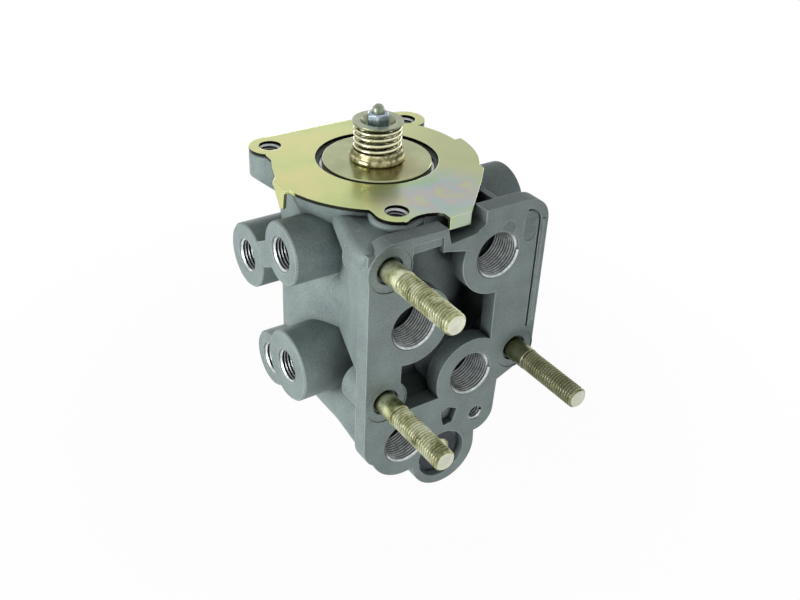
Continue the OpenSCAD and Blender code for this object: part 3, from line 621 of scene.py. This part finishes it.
def screwed(piece, pitch, turns, steps):
    """Carries a profile round Z along a helix."""
    screw = piece.modifiers.new("helix", "SCREW")
    screw.axis = "Z"
    screw.angle = 2 * math.pi
    screw.screw_offset = pitch * MM
    screw.iterations = turns
    screw.steps = screw.render_steps = steps
    only(piece)
    bpy.ops.object.modifier_apply(modifier=screw.name)
    return piece


def closed(piece, sides):
    """Merges what the sweep left double and closes the two ends."""
    edit(piece)
    bpy.ops.mesh.remove_doubles(threshold=MM / 200)
    bpy.ops.mesh.fill_holes(sides=sides)
    leave_with_normals_out()
    return piece


def helix_ridge(name, root_radius, height, length, inwards, steps=40):
    """One ridge of thread along Z from the origin, with its foot at root_radius."""
    side = -1 if inwards else 1
    deselect()
    bpy.ops.mesh.primitive_circle_add(vertices=3, radius=MM,
                                      rotation=(math.pi / 2, side * math.pi / 2, 0))
    ridge = bpy.context.object
    ridge.name = name
    in_place()
    edit(ridge)
    # A triangle in a circle of radius 1 is 1.5 high and as wide as the square root of 3
    bpy.ops.transform.resize(value=(height / 1.5, 1, PITCH * RIDGE_WIDTH / math.sqrt(3)),
                             center_override=(0, 0, 0))
    middle_radius = root_radius + side * height / 3
    bpy.ops.transform.translate(value=(middle_radius * MM, 0, PITCH / 2 * MM))
    leave_edit()
    return closed(screwed(ridge, PITCH, int(length / PITCH), steps), 3)


def joined(name, *parts):
    """Joins parts into one mesh under one name."""
    deselect()
    for part in parts:
        part.select_set(True)
    bpy.context.view_layer.objects.active = parts[0]
    bpy.ops.object.join()
    parts[0].name = name
    return parts[0]


def raise_by(piece, distance_mm):
    """Moves a piece's mesh along Z."""
    edit(piece)
    bpy.ops.transform.translate(value=(0, 0, distance_mm * MM))
    leave_edit()


print("thread pitch:", PITCH, "mm")

# %% [markdown]
# ## The ports
#
# The ports and bolt holes in the casting are threaded. Each takes its place, direction and radius
# from the list of mounts, so a thread can't drift away from its hole.

# %% Threads in the ports
THREAD_DEPTH = 0.82
THREAD_START = 0.2  # from the inner end, so that no ridge touches the port's floor
THREAD_SHORTER = 0.6  # than the hole, so that the ridge ends inside its mouth
IN_THE_WALL = 0.02
threaded = [mount for mount in record["mounts"] if mount["kind"] == "threaded_hole"]
for mount in threaded:
    radius, length = mount["dims"]["r_mm"], mount["dims"]["length_mm"]
    outwards = Vector(mount["axis"])
    steps = 56 if radius > 10 else 40  # a large port needs more of them to look round
    thread = helix_ridge("thread_in_" + mount["name"], radius + IN_THE_WALL, THREAD_DEPTH,
                         length - THREAD_SHORTER, True, steps)
    inner_end = Vector(mount["pos_m"]) - outwards * length / 2 * MM
    put(thread, inner_end + outwards * THREAD_START * MM, outwards)
    dress(thread, "cast_aluminium", "housing", finish="cut_thread")
print("threaded holes:", len(threaded))

# %% [markdown]
# ## The studs
#
# Each stud stands in the casting on a plain neck, slopes down to the thread, and ends in a
# chamfer. The solid is a plain bar at the thread's full radius, so it is replaced by a core and a
# ridge of thread round it.

# %% Model the studs
NECK_START = -2.0  # inside the boss
NECK_LENGTH = 11.0
NECK_RADIUS = 5.2
CREST_RADIUS = 5.0
ROOT_RADIUS = 4.25
NECK_SLOPE = 0.6
TIP_LENGTH = 1.3  # the plain end behind which the ridge stops
TIP_RADIUS = 4.9
TIP_SLOPE = 0.2
CHAMFER_LENGTH = 0.9
END_RADIUS = 4.1
IN_THE_CORE = 0.05
RUN_OUT = 0.2  # how far the ridge starts on the neck's slope

for node in ("upper_stud", "lower_stud", "right_stud"):
    low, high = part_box(node)
    inside, outside = high.y / MM, -low.y / MM
    core = turned(node + "_core", [
        (-inside, ROOT_RADIUS), (NECK_START - 0.5, ROOT_RADIUS), (NECK_START, NECK_RADIUS),
        (NECK_LENGTH - NECK_SLOPE, NECK_RADIUS), (NECK_LENGTH, ROOT_RADIUS),
        (outside - TIP_LENGTH - TIP_SLOPE, ROOT_RADIUS), (outside - TIP_LENGTH, TIP_RADIUS),
        (outside - CHAMFER_LENGTH, TIP_RADIUS), (outside, END_RADIUS)])
    ridge = helix_ridge(node + "_thread", ROOT_RADIUS - IN_THE_CORE,
                        CREST_RADIUS - ROOT_RADIUS + IN_THE_CORE,
                        outside - NECK_LENGTH - TIP_LENGTH, False)
    raise_by(ridge, NECK_LENGTH - RUN_OUT)
    stud = joined(node + "_threaded", core, ridge)
    put(stud, (middle(node).x, 0, middle(node).z), (0, -1, 0))
    dress(stud, "yellow_zinc_stud", "housing")
    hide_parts(node)
    print(node, "stands out", round(outside, 1), "mm")

# %% [markdown]
# ## The cast shoulder
#
# Between the upper stud and the front bolt the real casting is one soft bulge, as metal flows in a
# mould. A few spheres are set where the stud's boss, the bolt's lug and the side wall stand, and
# the convex hull tool stretches one skin over them.

# %% Blend the shoulder
def skin_over(name, spheres, segments=40):
    """One smooth cast skin over spheres of (x, y, z, radius), in millimetres."""
    parts = []
    for x, y, z, radius in spheres:
        deselect()
        bpy.ops.mesh.primitive_uv_sphere_add(segments=segments, ring_count=segments // 2,
                                             radius=radius * MM, location=(x * MM, y * MM, z * MM))
        in_place()
        parts.append(bpy.context.object)
    skin = joined(name, *parts)
    edit(skin)
    bpy.ops.mesh.convex_hull()
    leave_with_normals_out()
    return skin


stud_place = Vector(mounts["upper_stud_thread"]["pos_m"]) / MM
lug_place = Vector(mounts["lug_front"]["pos_m"]) / MM
behind_the_stud = (stud_place.x, 12.4, stud_place.z, 11.2)
under_the_lug = (lug_place.x, lug_place.y, lug_place.z - 7.5, 9.5)
along_the_wall = [(-43.6, 5.6, 63.2, 4.3), (-43.2, 9.5, 62.2, 5.0), (-34.8, 38.5, 61.5, 5.2)]
shoulder = skin_over("cast_shoulder", [behind_the_stud, under_the_lug] + along_the_wall)
dress(shoulder, "cast_aluminium", "housing", smooth=60)
print("shoulder faces:", len(shoulder.data.polygons))

# %% [markdown]
# ## The bead on the flange
#
# A thin bead runs down the flange's right edge, beside a groove. It is a round bar with its rear
# half in the metal, so a cylinder of the bead's section is all it takes.

# %% Cast the bead
BEAD_RADIUS = 0.75
bead_x = right_stud.x + 7.8
bead_foot = right_stud.z + 14.5
bead_top = 61
deselect()
bpy.ops.mesh.primitive_cylinder_add(vertices=16, radius=BEAD_RADIUS * MM,
                                    depth=(bead_top - bead_foot) * MM,
                                    location=(bead_x * MM, 0, (bead_top + bead_foot) / 2 * MM))
bead = bpy.context.object
bead.name = "flange_bead"
in_place()
dress(bead, "cast_aluminium", "housing", smooth=60)
print("bead from", round(bead_foot, 1), "to", bead_top, "mm")

# %% [markdown]
# ## The graduating spring
#
# The driver feels this spring before the valve opens. It is wound from round wire, with one closed
# turn at each end. We sweep a round section three times, as two closed turns and the open ones
# between them, and join the three. Its box gives the length and the diameter. When the cup comes
# down the spring gets shorter. The spring gets a mesh of its own.

# %% Wind the spring
WIRE = 1.7
WIRE_SIDES = 12
WIRE_STEPS = 48  # per turn
TURNS = 6
low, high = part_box("graduating_spring")
spring_length = (high.z - low.z) / MM
coil_radius = (high.x - low.x) / 2 / MM - WIRE / 2
open_pitch = (spring_length - 3 * WIRE) / (TURNS - 2)


def turns_of_wire(name, start_mm, pitch, turns):
    """Turns of wire from a height, at one pitch."""
    deselect()
    bpy.ops.mesh.primitive_circle_add(vertices=WIRE_SIDES, radius=WIRE / 2 * MM,
                                      location=(coil_radius * MM, 0, start_mm * MM),
                                      rotation=(math.pi / 2, 0, 0))
    wire = bpy.context.object
    wire.name = name
    in_place()
    return screwed(wire, pitch, turns, WIRE_STEPS)


spring = closed(joined("graduating_coil",
                       turns_of_wire("lower_closed_turn", WIRE / 2, WIRE, 1),
                       turns_of_wire("open_turns", 1.5 * WIRE, open_pitch, TURNS - 2),
                       turns_of_wire("upper_closed_turn", spring_length - 1.5 * WIRE, WIRE, 1)),
                WIRE_SIDES)
put(spring, (0, axis_y, low.z), (0, 0, 1))
dress(spring, "spring_steel", "piston_group", smooth=60)


def shorten(piece):
    """Gives a standing spring a mesh of its own."""
    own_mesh(piece)


shorten(spring)
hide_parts("graduating_spring")

# %% [markdown]
# ## The springs inside
#
# Four more springs stand inside the housing and nobody sees them, so the solids are good enough.
# Each gets shorter when the piece above it comes down. A copy of the solid's mesh takes the
# solid's place, and the solid's own mesh stays as it is.
# The solid comes as loose triangles, so the copy's doubled corners are merged first.

# %% Copy the inner springs
for node, joint in (("piston_return_spring", "piston_slide"),
                    ("primary_valve_spring", "primary_valve_slide"),
                    ("relay_return_spring", "relay_slide"),
                    ("secondary_valve_spring", "secondary_valve_slide")):
    low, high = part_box(node)
    inner = bpy.data.objects.new(node + "_coil", nodes[node].data.copy())
    inner.matrix_world = nodes[node].matrix_world
    scene.collection.objects.link(inner)
    edit(inner)
    bpy.ops.mesh.remove_doubles(threshold=MM / 1000)
    leave_edit()
    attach(inner, "housing")
    shorten(inner)
    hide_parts(node)

# %% [markdown]
# ## Floor and world
#
# The photograph is a cut-out on white. A pale floor under the part and a world that looks white to
# the camera and in reflections give the same ground, and the floor keeps a soft shadow near the
# part. On surfaces the world's own light is weak and a little blue.

# %% Floor and world
FLOOR_GAP = 0.5 * MM
SHADOW_REACH = 117
WHITE_FROM = 260


def seen_directly(tree):
    """1 for what the camera, a mirror or a clear piece sees, 0 for the light on surfaces."""
    path = add(tree, "LightPath")
    seen = path.outputs["Is Camera Ray"]
    for ray in ("Is Glossy Ray", "Is Transmission Ray"):
        seen = add(tree, "Math", {0: seen, 1: path.outputs[ray]}, operation="MAXIMUM").outputs[0]
    return seen


low, high = solid_box
deselect()
bpy.ops.mesh.primitive_plane_add(size=6, location=(0, axis_y, low.z - FLOOR_GAP))
floor = bpy.context.object
floor.name = "floor"
floor_material, floor_tree, floor_shader = start_material("pale_floor", Roughness=0.9)
floor_shader.inputs["Base Color"].default_value = linear("#F4F4F4")
glow = add(floor_tree, "Emission", {"Color": (1, 1, 1, 1), "Strength": 1.0})
white_share = around(floor_tree, (0, 0, 0), SHADOW_REACH, WHITE_FROM, inside=0.97, outside=1.0)
seen = seen_directly(floor_tree)
share = add(floor_tree, "Math", {0: seen, 1: white_share}, operation="MULTIPLY")
blend = add(floor_tree, "MixShader", {0: share.outputs[0], 1: floor_shader.outputs[0],
                                      2: glow.outputs[0]})
floor_tree.links.new(blend.outputs[0], floor_tree.nodes["Material Output"].inputs["Surface"])
floor.data.materials.append(floor_material)

world = bpy.data.worlds.new("studio")
scene.world = world
world.use_nodes = True
sky = world.node_tree
fill = sky.nodes["Background"]
fill.inputs["Color"].default_value = (0.9, 0.96, 1.0, 1)
fill.inputs["Strength"].default_value = 0.11
white = add(sky, "Background", {"Color": (1, 1, 1, 1), "Strength": 1.0})
choose = add(sky, "MixShader", {0: seen_directly(sky), 1: fill.outputs[0], 2: white.outputs[0]})
sky.links.new(choose.outputs[0], sky.nodes["World Output"].inputs["Surface"])
print("floor at", round((low.z - FLOOR_GAP) / MM, 1), "mm")

# %% [markdown]
# ## Lamps
#
# A large soft lamp low on the left lights the left side, as in the photograph, and leaves what
# faces upwards darker. A small one lights the foot of the flange, and weak ones the far sides.

# %% The lamps
def lamp(name, place_mm, size_mm, watts):
    """A square soft lamp that points at the valve."""
    data = bpy.data.lights.new(name, "AREA")
    data.size = size_mm * MM
    data.energy = watts
    made = bpy.data.objects.new(name, data)
    scene.collection.objects.link(made)
    made.location = Vector(place_mm) * MM
    towards = Vector((0, axis_y, 0)) - made.location
    made.rotation_euler = towards.to_track_quat("-Z", "Y").to_euler()


lamp("key_left", (-700, 40, 10), 420, 5.2)
lamp("fill_front", (-100, -650, 60), 300, 0.15)
lamp("low_front", (-20, -290, -120), 160, 1.4)
lamp("soft_right", (650, 200, 40), 400, 0.8)
lamp("soft_back", (200, 750, 20), 400, 1.2)
print("lamps:", len(bpy.data.lights))
